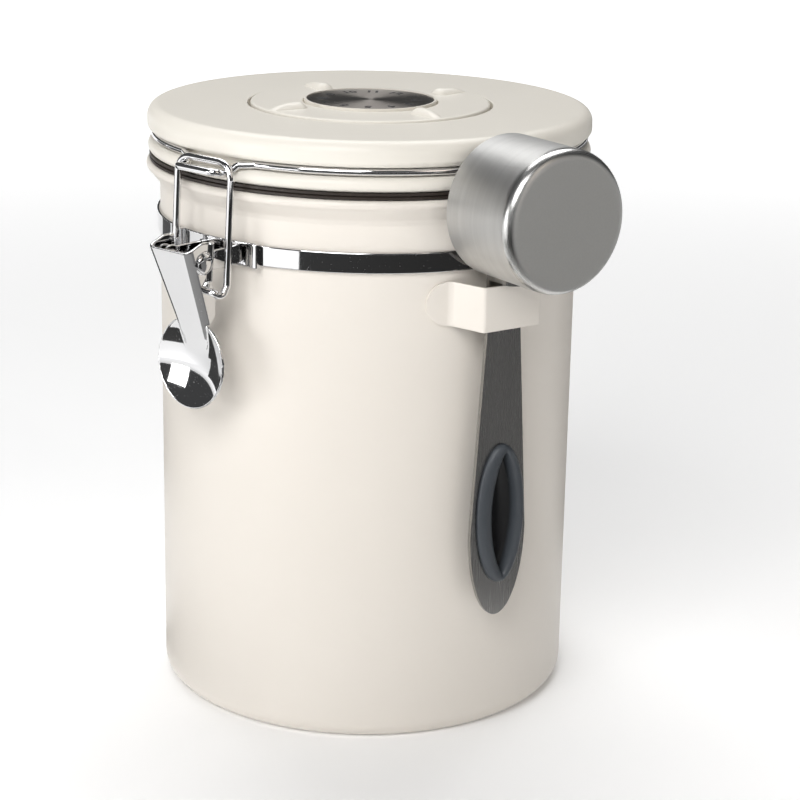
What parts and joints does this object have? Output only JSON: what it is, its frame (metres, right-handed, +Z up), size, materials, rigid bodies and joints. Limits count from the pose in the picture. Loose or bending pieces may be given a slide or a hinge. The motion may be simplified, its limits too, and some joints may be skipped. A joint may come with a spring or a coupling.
{
  "type": "coffee canister",
  "caption": "Round lidded storage canister with a wire bail latch, rear hinge, one-way valve and date dial in the lid, and a measuring scoop hung in a side bracket.",
  "frame": {"origin": "centre of the flat foot on the surface that it stands on", "axes": "+Z up, -Y towards the latch, +Y towards the hinge, the scoop at the +X side"},
  "size_m": [0.1575, 0.1505, 0.1724],
  "materials": {
    "enamel": "satin powder coat",
    "cream_plastic": "satin",
    "polished_steel": "polished",
    "polished_wire": "polished",
    "brushed_steel": "brushed",
    "dial_steel": "spun",
    "dark_rubber": "matte",
    "grip_rubber": "matte",
    "clear_silicone": "matte",
    "felt": "felt"
  },
  "bodies": {
    "canister": {"canister_body": "enamel", "clamp_band": "polished_steel", "latch_bracket": "polished_steel", "lever_rivet": "polished_steel", "hinge_bracket": "polished_steel", "scoop_bracket": "enamel"},
    "lid": {"lid_ring": "polished_wire", "lid_base": "cream_plastic", "lid_seal": "dark_rubber", "lid_cover": "cream_plastic", "dial_hub": "cream_plastic", "dial_disc": "dial_steel", "hub_clip": "polished_steel", "valve_cap": "cream_plastic", "valve_filter": "felt"},
    "lever": {"latch_lever": "polished_steel"},
    "loop": {"latch_loop": "polished_wire"},
    "dial": {"dial_ring": "cream_plastic"},
    "valve": {"valve_flap": "clear_silicone"},
    "scoop": {"scoop_cup": "brushed_steel", "scoop_handle": "brushed_steel", "scoop_grip": "grip_rubber"}
  },
  "joints": [
    {"name": "lid_hinge", "type": "hinge", "parent": "canister", "child": "lid", "pos_m": [0, 0.0695, 0.15], "axis": [-1, 0, 0], "range_deg": [0, 105]},
    {"name": "lever_hinge", "type": "hinge", "parent": "canister", "child": "lever", "pos_m": [0, -0.073, 0.137], "axis": [-1, 0, 0], "range_deg": [0, 110]},
    {"name": "loop_hinge", "type": "hinge", "parent": "lever", "child": "loop", "pos_m": [0, -0.0711, 0.129], "axis": [-1, 0, 0], "range_deg": [-137.5, 0]},
    {"name": "dial_spin", "type": "hinge", "parent": "lid", "child": "dial", "pos_m": [0, 0, 0.1713], "axis": [0, 0, 1], "continuous": true},
    {"name": "valve_lift", "type": "slide", "parent": "lid", "child": "valve", "axis": [0, 0, 1], "range_m": [0, 0.0008]},
    {"name": "scoop_lift", "type": "slide", "parent": "canister", "child": "scoop", "axis": [0, 0, 1], "range_m": [0, 0.1]}
  ],
  "couplings": [
    {"joint": "loop_hinge", "follows": "lever_hinge", "ratio": -1.25}
  ]
}
